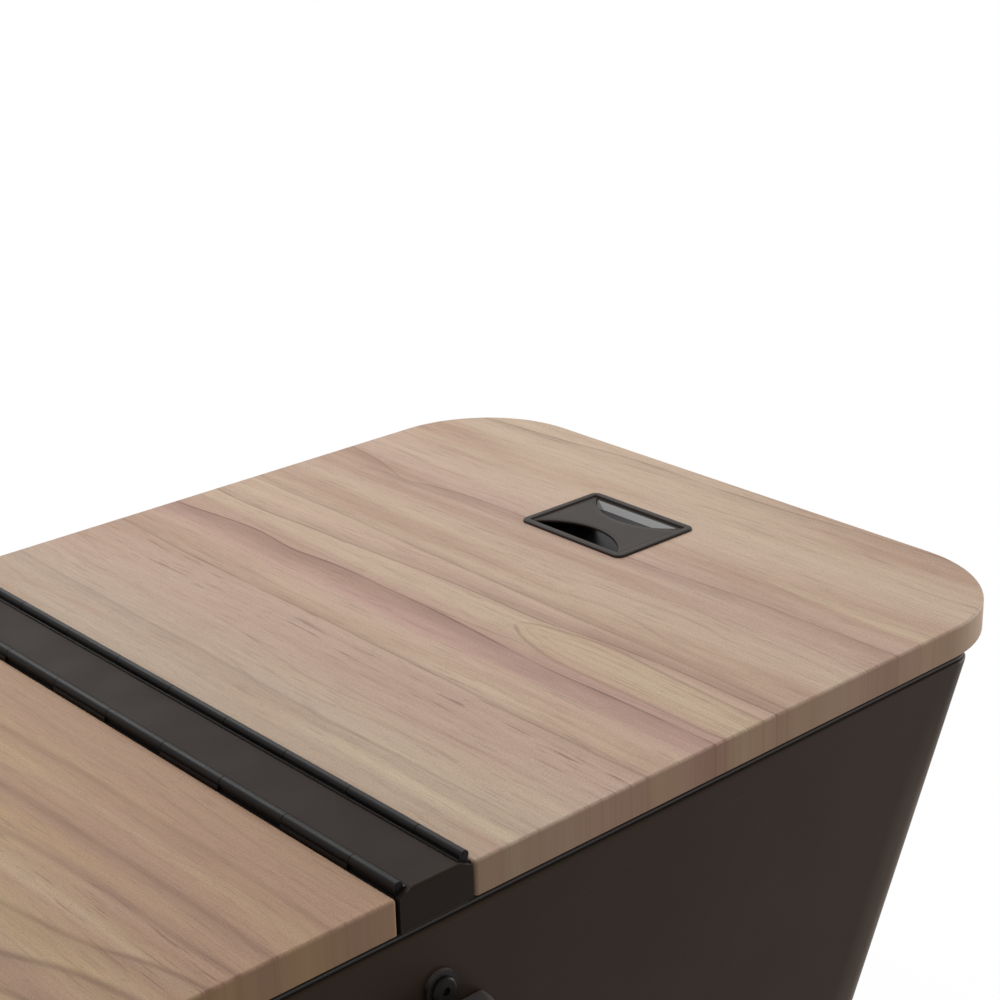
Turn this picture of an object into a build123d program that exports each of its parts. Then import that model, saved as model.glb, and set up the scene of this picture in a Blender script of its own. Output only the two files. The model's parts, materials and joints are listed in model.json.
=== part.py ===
from math import cos, radians, tan
import os

from build123d import *

os.makedirs("parts", exist_ok=True)

# Sizes are in millimetres. X runs along the cart, -Y is the front, Z is up from the floor.

# Clearances
fit = 0.3
running = 0.05

# Overall top
top_length = 898.0
lid_depth = 470.0
top_height = 830.0

# Lids
lid_thick = 18.0
lid_corner_r = 77.0
lid_hinge_corner_r = 2.0
lid_edge_r = 1.8
lid_slot = 45.0
lid_gap = 2.0
tray_depth = 12.0
tray_wall = 1.5
tray_clear = 8.0
gasket_wide = 8.0

# Spine between the lids
spine_wide = 42.0
spine_rise = 2.3
spine_edge_drop = 1.0
spine_chamfer = 7.5
spine_sheet = 1.5
spine_bend_r = 1.2

# Piano hinges
knuckle_count = 10
end_knuckle_share = 0.64
knuckle_gap = 0.4
barrel_inset = 3.0
barrel_r = 2.7
barrel_rise = 3.2
barrel_inboard = 2.0
pin_r = 1.25
leaf_thick = 1.0
leaf_foot = 2.0
neck_lift = 1.0
strip_share = 0.85

# Flush pulls
pull_from_end = 106.0
pull_back = 7.0
pull_wide = 66.0
pull_long = 87.0
pull_corner_r = 5.0
pull_flange = 1.6
pull_bevel = 0.7
pull_lip = 3.0
pull_deep = 13.0
pull_wall = 1.5
pull_plate = 2.4
pull_rim = 5.0
pull_taper = 18.0
scoop_r = 44.0
pull_waist = 19.0

# Insulated tub
end_overhang = 50.6
front_setback = 1.0
end_taper = 25.7
tub_height = 327.0
tub_corner_r = 19.0
tub_sheet = 1.2
tub_hem = 14.0
tub_foot = 46.0
hem_r = 2.0
floor_sheet = 1.5
wall_thick = 22.0
liner_thick = 1.5
liner_corner_r = 26.0
liner_floor_r = 14.0
rim_sheet = 1.5
rim_bridge = 88.0

# Drain
drain_x = 110.0
drain_y = 120.0
drain_bore_r = 8.0
drain_tube_r = 11.0
drain_flange_r = 21.0
drain_flange = 2.0
drain_drop = 24.0
drain_nut_r = 19.0
drain_nut_thick = 7.0
drain_cap_wall = 3.0
drain_cap_tall = 16.0
cap_rib_count = 12
cap_rib_r = 1.6

# Bottle opener
opener_screw_drop = 56.0
opener_ear_r = 9.5
opener_thick = 2.5
opener_wide = 54.0
opener_tall = 46.0
opener_neck = 16.0
opener_corner_r = 6.0
hood_reach = 27.0
hood_wall = 4.5
hood_tall = 18.0
hood_r = 6.0
claw_reach = 6.0
screw_r = 3.0
screw_head_r = 6.8
screw_head = 2.5
screw_dome_r = 1.8
screw_long = 10.0
socket_r = 2.3
socket_deep = 1.6

# Cap catcher
catcher_drop = 150.0
catcher_wide = 96.0
catcher_deep = 46.0
catcher_tall = 112.0
catcher_sheet = 1.2
catcher_corner_r = 8.0
catcher_screw_span = 56.0
catcher_screw_drop = 14.0
catcher_lift = 12.0

# End handles
handle_drop = 110.0
handle_span = 180.0
handle_reach = 38.0
handle_bar_r = 8.0
handle_post_r = 6.0
handle_foot_r = 13.0
handle_foot = 3.0

# Base
frame_tube = 25.0
tube_wall = 1.5
leg_tube = 30.0
leg_inset = 35.0
frame_inset = 27.0
foot_inset = 129.0
foot_plate = 3.0
shelf_height = 212.0
shelf_sheet = 1.5
shelf_lip = 15.0
shelf_side_gap = 2.0
shelf_rail_inset = 42.0
slot_count = 9
slot_wide = 14.0
slot_margin = 36.0
bolt_r = 3.0
bolt_head_r = 5.6
bolt_head = 4.0

# Casters
wheel_r = 38.0
wheel_wide = 26.0
tyre_edge_r = 6.0
hub_r = 28.0
hub_boss_r = 9.0
hub_rim = 4.0
hub_web = 8.0
trail = 26.0
axle_r = 4.0
axle_head_r = 6.5
axle_head = 4.0
blade_thick = 2.5
wheel_side_gap = 1.5
crown_gap = 6.0
crown_thick = 4.0
crown_front = 18.0
crown_back = 22.0
axle_eye_r = 11.0
swivel_gap = 0.4
collar_r = 18.0
collar_thick = 8.0
kingpin_r = 4.0
kingpin_head_r = 7.0
kingpin_head = 2.6
stem_r = 5.0
stem_long = 25.0
brake_pin_r = 2.5
brake_pin_behind = 18.0
brake_ear_r = 6.0
brake_wide = 22.0
brake_thick = 4.0
brake_tail = 46.0
brake_shoe_r = 3.0
brake_shoe_back = 10.0
brake_shoe_drop = 8.0

# Heights of the tub's layers, from the lids down
lid_bottom = top_height - lid_thick
rim_top = lid_bottom - lid_gap
liner_top = rim_top - rim_sheet
tub_top = liner_top - liner_thick
tub_bottom = tub_top - tub_height
floor_bottom = tub_bottom + tub_sheet
floor_top = floor_bottom + floor_sheet
liner_floor = floor_top + wall_thick

# Plan sizes
half_depth = lid_depth / 2
tub_half_depth = half_depth - front_setback
tub_half_top = top_length / 2 - end_overhang
end_slope = tan(radians(end_taper))
end_stretch = 1 / cos(radians(end_taper))
front_face = -tub_half_depth
liner_inset = wall_thick + liner_thick
opening_end = tub_half_top - liner_inset * end_stretch
opening_half_depth = tub_half_depth - liner_inset
sides = {"left": -1, "right": 1}
ends = {"front": -1, "rear": 1}


def save(shape, name):
    shape.label = name
    export_step(shape, f"parts/{name}.step")


def from_middle(corner):
    """Distance of a corner from the cart's middle plane."""
    return abs(corner.X)


def stands(edge):
    """True for an edge that runs up a corner."""
    return abs(edge.tangent_at(0).Z) > 0.5


def tub_half(z):
    """Half the tub's outside length at height z."""
    return tub_half_top - end_slope * (tub_top - z)


def tub_block(low, high, inset, corner_r):
    """Solid of the tapered tub between two heights, moved in from its outside faces."""
    low_half = tub_half(low) - inset * end_stretch
    high_half = tub_half(high) - inset * end_stretch
    block_half_depth = tub_half_depth - inset
    with BuildPart() as block:
        with BuildSketch(Plane.XZ.offset(-block_half_depth)):
            with BuildLine():
                Polyline(
                    (-low_half, low),
                    (low_half, low),
                    (high_half, high),
                    (-high_half, high),
                    close=True,
                )
            make_face()
        extrude(amount=2 * block_half_depth)
        fillet(block.edges().filter_by(stands), corner_r)
    return block.part


# Screw places on the front face: x and height
opener_top_z = top_height - opener_screw_drop
opener_plate_top = opener_top_z - opener_neck
opener_low_z = opener_plate_top - opener_tall + opener_ear_r
opener_points = [(0, opener_top_z), (0, opener_low_z)]
catcher_top = top_height - catcher_drop
catcher_screw_z = catcher_top - catcher_screw_drop
catcher_points = [(side * catcher_screw_span / 2, catcher_screw_z) for side in (-1, 1)]
front_points = opener_points + catcher_points

# Frame places
frame_top = tub_bottom
frame_bottom = frame_top - frame_tube
frame_x = tub_half(tub_bottom) - frame_inset
foot_x = top_length / 2 - foot_inset
leg_y = half_depth - leg_inset
wheel_top = 2 * wheel_r
crown_bottom = wheel_top + crown_gap
crown_top = crown_bottom + crown_thick
collar_bottom = crown_top + swivel_gap
leg_bottom = collar_bottom + collar_thick
leg_slope = (foot_x - frame_x) / (frame_bottom - leg_bottom)
shelf_rail_mid = shelf_height - frame_tube / 2
shelf_cross_x = frame_x + leg_slope * (frame_bottom - shelf_rail_mid)
shelf_rail_y = leg_y - shelf_rail_inset
tub_bolt_y = leg_y - leg_tube

# Outer shell of the tub: one folded wrap with a hem at the top and a foot flange
with BuildPart() as tub_wrap:
    add(tub_block(tub_bottom, tub_top, 0, tub_corner_r))
    fillet(tub_wrap.faces().sort_by(Axis.Z)[-1].edges(), hem_r)
    add(
        tub_block(floor_bottom, tub_top - tub_sheet, tub_sheet, tub_corner_r - tub_sheet),
        mode=Mode.SUBTRACT,
    )
    with BuildSketch(Plane.XY.offset(tub_top)):
        Rectangle(2 * (tub_half_top - tub_hem * end_stretch), 2 * (tub_half_depth - tub_hem))
    extrude(amount=-tub_sheet, mode=Mode.SUBTRACT)
    with BuildSketch(Plane.XY.offset(tub_bottom)):
        Rectangle(2 * (tub_half(tub_bottom) - tub_foot), 2 * (tub_half_depth - tub_foot))
    extrude(amount=tub_sheet, mode=Mode.SUBTRACT)
    with BuildSketch(Plane.XZ.offset(-front_face)):
        with Locations(*front_points):
            Circle(screw_r + fit)
    extrude(amount=-2 * tub_sheet, mode=Mode.SUBTRACT)
    with Locations(*[(sx * frame_x, sy * tub_bolt_y, tub_bottom) for sx in (-1, 1) for sy in (-1, 1)]):
        Cylinder(bolt_r + fit, 4 * tub_sheet, mode=Mode.SUBTRACT)
save(tub_wrap.part, "tub_wrap")

# Floor sheet that closes the shell from inside, on the foot flange
with BuildPart() as tub_floor:
    floor_inset = tub_sheet + fit
    add(tub_block(floor_bottom, tub_top, floor_inset, tub_corner_r - floor_inset))
    split(bisect_by=Plane.XY.offset(floor_top), keep=Keep.BOTTOM)
    with Locations((drain_x, drain_y, floor_bottom)):
        Cylinder(drain_tube_r + fit, 4 * floor_sheet, mode=Mode.SUBTRACT)
    with Locations(*[(sx * frame_x, sy * tub_bolt_y, floor_bottom) for sx in (-1, 1) for sy in (-1, 1)]):
        Cylinder(bolt_r + fit, 4 * floor_sheet, mode=Mode.SUBTRACT)
save(tub_floor.part, "tub_floor")

# Foam between the shell and the liner
with BuildPart() as insulation:
    foam_inset = tub_sheet + fit
    add(tub_block(floor_top, tub_top - tub_sheet - fit, foam_inset, tub_corner_r - foam_inset))
    add(
        tub_block(liner_floor - fit, tub_top + fit, wall_thick - fit, liner_corner_r + liner_thick + fit),
        mode=Mode.SUBTRACT,
    )
    with Locations((drain_x, drain_y, floor_top)):
        Cylinder(drain_tube_r + fit, 4 * wall_thick, mode=Mode.SUBTRACT)
    with BuildSketch(Plane.XZ.offset(-front_face)):
        with Locations(*front_points):
            Circle(screw_r + fit)
    extrude(amount=-screw_long - fit, mode=Mode.SUBTRACT)
save(insulation.part, "insulation")

# Moulded liner that holds the ice, hung from its flange
with BuildPart() as liner_space:
    add(tub_block(liner_floor + liner_thick, liner_top + fit, liner_inset, liner_corner_r))
    fillet(liner_space.faces().sort_by(Axis.Z)[0].edges(), liner_floor_r)

with BuildPart() as liner:
    add(tub_block(liner_floor, tub_top, wall_thick, liner_corner_r + liner_thick))
    fillet(liner.faces().sort_by(Axis.Z)[0].edges(), liner_floor_r + liner_thick)
    with BuildSketch(Plane.XY.offset(tub_top)):
        RectangleRounded(
            2 * (tub_half_top - hem_r * end_stretch),
            2 * (tub_half_depth - hem_r),
            tub_corner_r - hem_r,
        )
    extrude(amount=liner_thick)
    add(liner_space.part, mode=Mode.SUBTRACT)
    with Locations((drain_x, drain_y, liner_floor)):
        Cylinder(drain_tube_r + fit, 4 * liner_thick, mode=Mode.SUBTRACT)
save(liner.part, "liner")

# Rim frame: flat ring with a bridge under the spine
bay_low = rim_bridge / 2
bay_mid = (bay_low + opening_end) / 2
bay_long = opening_end - bay_low
with BuildPart() as rim_frame:
    with BuildSketch(Plane.XY.offset(liner_top)):
        RectangleRounded(
            2 * (tub_half_top - hem_r * end_stretch),
            2 * (tub_half_depth - hem_r),
            tub_corner_r - hem_r,
        )
        with Locations((-bay_mid, 0), (bay_mid, 0)):
            RectangleRounded(bay_long, 2 * opening_half_depth, liner_corner_r, mode=Mode.SUBTRACT)
    extrude(amount=rim_sheet)
save(rim_frame.part, "rim_frame")

# Spine: a channel over the bridge, and the cover that shows between the lids
beam_half = spine_wide / 2 - spine_sheet - fit / 2
beam_half_depth = half_depth - spine_sheet - fit / 2
beam_top = top_height - spine_edge_drop - 2 * spine_sheet
with BuildPart() as spine_beam:
    with Locations((0, 0, (rim_top + beam_top) / 2)):
        Box(2 * beam_half, 2 * beam_half_depth, beam_top - rim_top)
    offset(amount=-spine_sheet, openings=spine_beam.faces().sort_by(Axis.Z)[0])
save(spine_beam.part, "spine_beam")

with BuildPart() as spine_cover:
    with BuildSketch(Plane.XZ.offset(-half_depth)):
        with BuildLine():
            Polyline(
                (-spine_wide / 2, lid_bottom),
                (-spine_wide / 2, top_height - spine_edge_drop),
                (-spine_wide / 2 + spine_chamfer, top_height + spine_rise),
                (spine_wide / 2 - spine_chamfer, top_height + spine_rise),
                (spine_wide / 2, top_height - spine_edge_drop),
                (spine_wide / 2, lid_bottom),
                close=True,
            )
        make_face()
    extrude(amount=lid_depth)
    offset(amount=-spine_sheet, openings=spine_cover.faces().sort_by(Axis.Z)[0])
    fillet(spine_cover.faces().sort_by(Axis.Z)[-1].edges(), spine_bend_r)
save(spine_cover.part, "spine_cover")

# Piano hinges: one leaf lies on the spine's chamfer, the other hangs on the lid's edge
hinge_x = spine_wide / 2 - barrel_inboard
hinge_z = top_height + barrel_rise
barrel_long = lid_depth - 2 * barrel_inset
knuckle_pitch = barrel_long / (knuckle_count - 2 + 2 * end_knuckle_share)
knuckle_edges = [-barrel_long / 2]
for index in range(knuckle_count - 1):
    knuckle_edges.append(-barrel_long / 2 + knuckle_pitch * (end_knuckle_share + index))
knuckle_edges.append(barrel_long / 2)
leaf_top = top_height - leaf_thick / 2
leaf_bottom = lid_bottom + leaf_foot
neck_low = top_height + neck_lift
neck_top = neck_low + leaf_thick
bore_r = pin_r + running
spine_half = spine_wide / 2
spine_edge = top_height - spine_edge_drop
chamfer_slope = (spine_rise + spine_edge_drop) / spine_chamfer
strip_in = spine_half - strip_share * spine_chamfer
strip_out = hinge_x - barrel_r - fit
strip_low = spine_edge + chamfer_slope * (spine_half - strip_in)
strip_top = strip_low + leaf_thick / 2
lid_neck = [
    (lid_slot / 2 - leaf_thick, leaf_bottom),
    (lid_slot / 2, leaf_bottom),
    (lid_slot / 2, neck_top),
    (hinge_x, neck_top),
    (hinge_x, neck_low),
    (lid_slot / 2 - leaf_thick, neck_low),
]
spine_neck = [
    (strip_in, strip_low),
    (strip_in, strip_top),
    (spine_half, strip_top),
    (spine_half, spine_edge),
]
lid_plate = [
    (lid_slot / 2 - leaf_thick, leaf_bottom),
    (lid_slot / 2 - leaf_thick, leaf_top),
    (lid_slot / 2, leaf_top),
    (lid_slot / 2, leaf_bottom),
]
spine_plate = [
    (strip_in, strip_low),
    (strip_in, strip_top),
    (strip_out, strip_top),
    (strip_out, spine_edge + chamfer_slope * (spine_half - strip_out)),
]


def hinge_leaf(side, on_lid):
    """One leaf of a piano hinge with its own alternate knuckles and their necks."""
    plate = lid_plate if on_lid else spine_plate
    neck = lid_neck if on_lid else spine_neck
    with BuildPart() as leaf:
        with BuildSketch(Plane.XZ.offset(-barrel_long / 2)):
            with BuildLine():
                Polyline(*[(side * x, z) for x, z in plate], close=True)
            make_face()
        extrude(amount=barrel_long)
        for index in range(1 if on_lid else 0, knuckle_count, 2):
            low = knuckle_edges[index] + knuckle_gap / 2
            high = knuckle_edges[index + 1] - knuckle_gap / 2
            with BuildSketch(Plane.XZ.offset(-high)):
                with BuildLine():
                    Polyline(*[(side * x, z) for x, z in neck], close=True)
                make_face()
                with Locations((side * hinge_x, hinge_z)):
                    Circle(barrel_r)
            extrude(amount=high - low)
        with Locations((side * hinge_x, 0, hinge_z)):
            Cylinder(bore_r, lid_depth, rotation=(90, 0, 0), mode=Mode.SUBTRACT)
    return leaf.part


for name, side in sides.items():
    save(hinge_leaf(side, False), f"hinge_leaf_spine_{name}")
    save(hinge_leaf(side, True), f"hinge_leaf_lid_{name}")
    with BuildPart() as hinge_pin:
        with Locations((side * hinge_x, 0, hinge_z)):
            Cylinder(pin_r, barrel_long, rotation=(90, 0, 0))
    save(hinge_pin.part, f"hinge_pin_{name}")

# Lids: a board with a flush pull, and a tray and a gasket under it
lid_end = top_length / 2
lid_near = lid_slot / 2
lid_mid = (lid_near + lid_end) / 2
pull_x = lid_end - pull_from_end
pull_body_wide = pull_wide - 2 * pull_lip
pull_body_long = pull_long - 2 * pull_lip
plate_bottom = top_height + pull_flange - pull_plate
gasket_near = (lid_near + bay_low) / 2
gasket_end = (opening_end + tub_half_top) / 2
gasket_side = (opening_half_depth + tub_half_depth) / 2


def lid_board(side):
    """Lid with round outer corners and a pocket for the pull."""
    with BuildPart() as board:
        with BuildSketch(Plane.XY.offset(lid_bottom)) as outline:
            with Locations((side * lid_mid, 0)):
                Rectangle(lid_end - lid_near, lid_depth)
            fillet(outline.vertices().sort_by(from_middle)[-2:], lid_corner_r)
            fillet(outline.vertices().sort_by(from_middle)[:2], lid_hinge_corner_r)
        extrude(amount=lid_thick)
        fillet(board.faces().sort_by(Axis.Z)[-1].edges(), lid_edge_r)
        with BuildSketch(Plane.XY.offset(top_height)):
            with Locations((side * pull_x, pull_back)):
                RectangleRounded(pull_body_wide + 2 * fit, pull_body_long + 2 * fit, pull_corner_r + fit)
        extrude(amount=-pull_deep - fit, mode=Mode.SUBTRACT)
    return board.part


def flush_pull(side):
    """Recessed pull: a flange, two finger scoops and the waisted plate between them."""
    with BuildPart() as bowl:
        with BuildSketch(Plane.XY.offset(plate_bottom)):
            with Locations((side * pull_x, pull_back)):
                RectangleRounded(
                    pull_body_wide - 2 * pull_wall,
                    pull_body_long - 2 * pull_wall,
                    pull_corner_r - pull_wall,
                )
        extrude(amount=-(plate_bottom - top_height + pull_deep - pull_wall), taper=pull_taper)
    with BuildPart() as pull:
        with BuildSketch(Plane.XY.offset(top_height)):
            with Locations((side * pull_x, pull_back)):
                RectangleRounded(pull_wide, pull_long, pull_corner_r)
        extrude(amount=pull_flange)
        chamfer(pull.faces().sort_by(Axis.Z)[-1].edges(), pull_bevel)
        with BuildSketch(Plane.XY.offset(top_height)):
            with Locations((side * pull_x, pull_back)):
                RectangleRounded(pull_body_wide, pull_body_long, pull_corner_r)
        extrude(amount=-pull_deep, taper=pull_taper)
        add(bowl.part, mode=Mode.SUBTRACT)
        with BuildSketch(Plane.XY.offset(top_height + pull_flange)):
            with Locations((side * pull_x, pull_back)):
                with Locations((-pull_waist / 2 - scoop_r, 0), (pull_waist / 2 + scoop_r, 0)):
                    Circle(scoop_r)
                RectangleRounded(
                    pull_wide - 2 * pull_rim, pull_long - 2 * pull_rim, pull_corner_r, mode=Mode.INTERSECT
                )
        extrude(amount=-pull_plate, mode=Mode.SUBTRACT)
    return pull.part


def lid_tray(side):
    """Shallow tray under the lid that drops inside the rim."""
    near = bay_low + tray_clear
    far = opening_end - tray_clear
    half = opening_half_depth - tray_clear
    with BuildPart() as tray:
        with BuildSketch(Plane.XY.offset(lid_bottom)):
            with Locations((side * (near + far) / 2, 0)):
                RectangleRounded(far - near, 2 * half, liner_corner_r)
        extrude(amount=-tray_depth)
        offset(amount=-tray_wall, openings=tray.faces().sort_by(Axis.Z)[-1])
    return tray.part


def lid_gasket(side):
    """Flat seal under the lid, over the rim frame."""
    middle = side * (gasket_near + gasket_end) / 2
    long = gasket_end - gasket_near
    with BuildPart() as gasket:
        with BuildSketch(Plane.XY.offset(lid_bottom)):
            with Locations((middle, 0)):
                RectangleRounded(
                    long + gasket_wide,
                    2 * gasket_side + gasket_wide,
                    lid_hinge_corner_r + gasket_wide,
                )
                RectangleRounded(
                    long - gasket_wide,
                    2 * gasket_side - gasket_wide,
                    lid_hinge_corner_r,
                    mode=Mode.SUBTRACT,
                )
        extrude(amount=-(lid_gap - fit))
    return gasket.part


for name, side in sides.items():
    save(lid_board(side), f"lid_board_{name}")
    save(flush_pull(side), f"pull_{name}")
    save(lid_tray(side), f"lid_tray_{name}")
    save(lid_gasket(side), f"lid_gasket_{name}")

# Drain: a flanged tube through the floor, its nut and its screw cap
tube_bottom = floor_bottom - drain_nut_thick - drain_drop
inner_floor = liner_floor + liner_thick
with BuildPart() as drain_fitting:
    with Locations((drain_x, drain_y, inner_floor + drain_flange / 2)):
        Cylinder(drain_flange_r, drain_flange)
    with Locations((drain_x, drain_y, (inner_floor + tube_bottom) / 2)):
        Cylinder(drain_tube_r, inner_floor - tube_bottom)
    with Locations((drain_x, drain_y, inner_floor)):
        Cylinder(drain_bore_r, 2 * tub_height, mode=Mode.SUBTRACT)
save(drain_fitting.part, "drain_fitting")

with BuildPart() as drain_nut:
    with BuildSketch(Plane.XY.offset(floor_bottom)):
        with Locations((drain_x, drain_y)):
            RegularPolygon(drain_nut_r, 6)
            Circle(drain_tube_r + running, mode=Mode.SUBTRACT)
    extrude(amount=-drain_nut_thick)
save(drain_nut.part, "drain_nut")

cap_inner_r = drain_tube_r + fit
cap_outer_r = cap_inner_r + drain_cap_wall
cap_bottom = tube_bottom - fit - drain_cap_wall
with BuildPart() as drain_cap:
    with BuildSketch(Plane.XY.offset(cap_bottom)):
        with Locations((drain_x, drain_y)):
            Circle(cap_outer_r)
            with PolarLocations(cap_outer_r, cap_rib_count):
                Circle(cap_rib_r)
    extrude(amount=drain_cap_tall)
    with BuildSketch(Plane.XY.offset(cap_bottom + drain_cap_wall)):
        with Locations((drain_x, drain_y)):
            Circle(cap_inner_r)
    extrude(amount=drain_cap_tall, mode=Mode.SUBTRACT)
save(drain_cap.part, "drain_cap")


def front_screw(x, z, neck):
    """Button-head screw into the front face; neck is the free length under the head."""
    with BuildPart() as screw:
        with BuildSketch(Plane.XZ.offset(-front_face + neck)):
            with Locations((x, z)):
                Circle(screw_head_r)
        extrude(amount=screw_head)
        fillet(screw.faces().sort_by(Axis.Y)[0].edges(), screw_dome_r)
        with BuildSketch(Plane.XZ.offset(-front_face + neck)):
            with Locations((x, z)):
                Circle(screw_r)
        extrude(amount=-(screw_long + neck))
        with BuildSketch(Plane.XZ.offset(-front_face + neck + screw_head)):
            with Locations((x, z)):
                RegularPolygon(socket_r, 6)
        extrude(amount=-socket_deep, mode=Mode.SUBTRACT)
    return screw.part


def front_screws(points, neck):
    """Group of like screws on the front face."""
    with BuildPart() as screws:
        for x, z in points:
            add(front_screw(x, z, neck))
    return screws.part


# Bottle opener: a plate with an ear, a hood over the cap and a claw under it
hood_top = opener_plate_top + hood_wall
claw_top = opener_low_z + screw_head_r + claw_reach
with BuildPart() as hood:
    with BuildSketch(Plane.XY.offset(hood_top)):
        with Locations((0, front_face - opener_thick / 2)):
            Ellipse(opener_wide / 2, hood_reach)
        with Locations((0, front_face - opener_thick / 2 + hood_reach)):
            Rectangle(2 * opener_wide, 2 * hood_reach, mode=Mode.SUBTRACT)
    extrude(amount=-hood_tall)
    fillet(hood.faces().sort_by(Axis.Z)[-1].edges().sort_by(Axis.Y)[0], hood_r)
    with BuildSketch(Plane.XY.offset(hood_top - hood_wall)):
        with Locations((0, front_face - opener_thick / 2)):
            Ellipse(opener_wide / 2 - hood_wall, hood_reach - hood_wall)
    extrude(amount=-hood_tall, mode=Mode.SUBTRACT)

with BuildPart() as bottle_opener:
    with BuildSketch(Plane.XZ.offset(-front_face)):
        with Locations((0, opener_top_z)):
            Circle(opener_ear_r)
        with Locations((0, opener_top_z - opener_neck)):
            Rectangle(2 * opener_ear_r, 2 * opener_neck)
        with Locations((0, opener_plate_top - opener_tall / 2)):
            RectangleRounded(opener_wide, opener_tall, opener_corner_r)
        with Locations(*opener_points):
            Circle(screw_r + fit, mode=Mode.SUBTRACT)
    extrude(amount=opener_thick)
    add(hood.part)
    with Locations((0, front_face - (opener_thick + claw_reach) / 2, claw_top - opener_thick / 2)):
        Box(opener_wide / 2, opener_thick + claw_reach, opener_thick)
    with Locations((0, front_face - opener_thick - claw_reach + opener_thick / 2, claw_top)):
        Box(opener_wide / 2, opener_thick, opener_thick)
save(bottle_opener.part, "bottle_opener")
save(front_screws(opener_points, opener_thick), "opener_screws")

# Cap catcher: an open bin that hangs by keyholes on two shoulder screws
catcher_back = front_face - fit
with BuildPart() as cap_catcher:
    with BuildSketch(Plane.XY.offset(catcher_top - catcher_tall)) as bin_outline:
        with Locations((0, catcher_back - catcher_deep / 2)):
            Rectangle(catcher_wide, catcher_deep)
        fillet(bin_outline.vertices().sort_by(Axis.Y)[:2], catcher_corner_r)
    extrude(amount=catcher_tall)
    offset(amount=-catcher_sheet, openings=cap_catcher.faces().sort_by(Axis.Z)[-1])
    for x, z in catcher_points:
        with BuildSketch(Plane.XZ.offset(-front_face)):
            with Locations((x, z)):
                Circle(screw_r + fit)
            with Locations((x, z - catcher_lift / 2)):
                Rectangle(2 * (screw_r + fit), catcher_lift)
            with Locations((x, z - catcher_lift)):
                Circle(screw_head_r + 2 * fit)
        extrude(amount=fit + catcher_sheet, mode=Mode.SUBTRACT)
save(cap_catcher.part, "cap_catcher")
save(front_screws(catcher_points, catcher_sheet + 2 * fit), "catcher_screws")


def end_handle(side):
    """Fixed bar on a sloping end wall, under the lid's overhang."""
    foot_z = top_height - handle_drop
    wall = Plane(
        origin=(side * tub_half(foot_z), 0, foot_z),
        x_dir=(0, 1, 0),
        z_dir=(side * cos(radians(end_taper)), 0, -tan(radians(end_taper)) * cos(radians(end_taper))),
    )
    with BuildPart(wall) as handle:
        with Locations((-handle_span / 2, 0, 0), (handle_span / 2, 0, 0)):
            Cylinder(handle_foot_r, handle_foot, align=(Align.CENTER, Align.CENTER, Align.MIN))
            Cylinder(handle_post_r, handle_reach, align=(Align.CENTER, Align.CENTER, Align.MIN))
        with Locations((0, 0, handle_reach)):
            Cylinder(handle_bar_r, handle_span + 4 * handle_bar_r, rotation=(0, 90, 0))
        bar_ends = handle.faces().filter_by(GeomType.PLANE).filter_by(Axis.Y)
        fillet(bar_ends.edges(), handle_bar_r / 2)
    return handle.part


for name, side in sides.items():
    save(end_handle(side), f"end_handle_{name}")


def leg_outline(side, low, high, inset):
    """Corners of a splayed leg's side view, with level ends."""
    half = leg_tube / 2 * (1 + leg_slope**2) ** 0.5 - inset * (1 + leg_slope**2) ** 0.5
    low_x = frame_x + leg_slope * (frame_bottom - low)
    high_x = frame_x + leg_slope * (frame_bottom - high)
    return [
        (side * (low_x - half), low),
        (side * (low_x + half), low),
        (side * (high_x + half), high),
        (side * (high_x - half), high),
    ]


def end_frame(side):
    """Welded end frame: two splayed legs and two cross tubes."""
    with BuildPart() as frame:
        for y in (-leg_y, leg_y):
            with BuildSketch(Plane.XZ.offset(-y - leg_tube / 2)):
                with BuildLine():
                    Polyline(*leg_outline(side, leg_bottom, frame_bottom, 0), close=True)
                make_face()
            extrude(amount=leg_tube)
        with Locations((side * frame_x, 0, frame_bottom + frame_tube / 2)):
            Box(frame_tube, 2 * leg_y + leg_tube, frame_tube)
        with Locations((side * shelf_cross_x, 0, shelf_rail_mid)):
            Box(frame_tube, 2 * leg_y, frame_tube)
        for y in (-leg_y, leg_y):
            bore = leg_tube - 2 * tube_wall
            with BuildSketch(Plane.XZ.offset(-y - bore / 2)):
                with BuildLine():
                    corners = leg_outline(side, leg_bottom + foot_plate, frame_bottom, tube_wall)
                    Polyline(*corners, close=True)
                make_face()
            extrude(amount=bore, mode=Mode.SUBTRACT)
            with Locations((side * foot_x, y, leg_bottom)):
                Cylinder(stem_r + fit, 4 * foot_plate, mode=Mode.SUBTRACT)
        tube_bore = frame_tube - 2 * tube_wall
        with Locations((side * frame_x, 0, frame_bottom + frame_tube / 2)):
            Box(tube_bore, 2 * leg_y + leg_tube - 2 * tube_wall, tube_bore, mode=Mode.SUBTRACT)
        with Locations((side * shelf_cross_x, 0, shelf_rail_mid)):
            Box(tube_bore, 2 * leg_y - leg_tube, tube_bore, mode=Mode.SUBTRACT)
        for end in (-1, 1):
            with Locations((side * frame_x, end * tub_bolt_y, frame_bottom)):
                Cylinder(bolt_r + fit, 4 * frame_tube, mode=Mode.SUBTRACT)
            with Locations((side * shelf_cross_x, end * shelf_rail_y, shelf_rail_mid)):
                Cylinder(bolt_r + fit, 2 * frame_tube, rotation=(0, 90, 0), mode=Mode.SUBTRACT)
    return frame.part


for name, side in sides.items():
    save(end_frame(side), f"end_frame_{name}")

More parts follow.
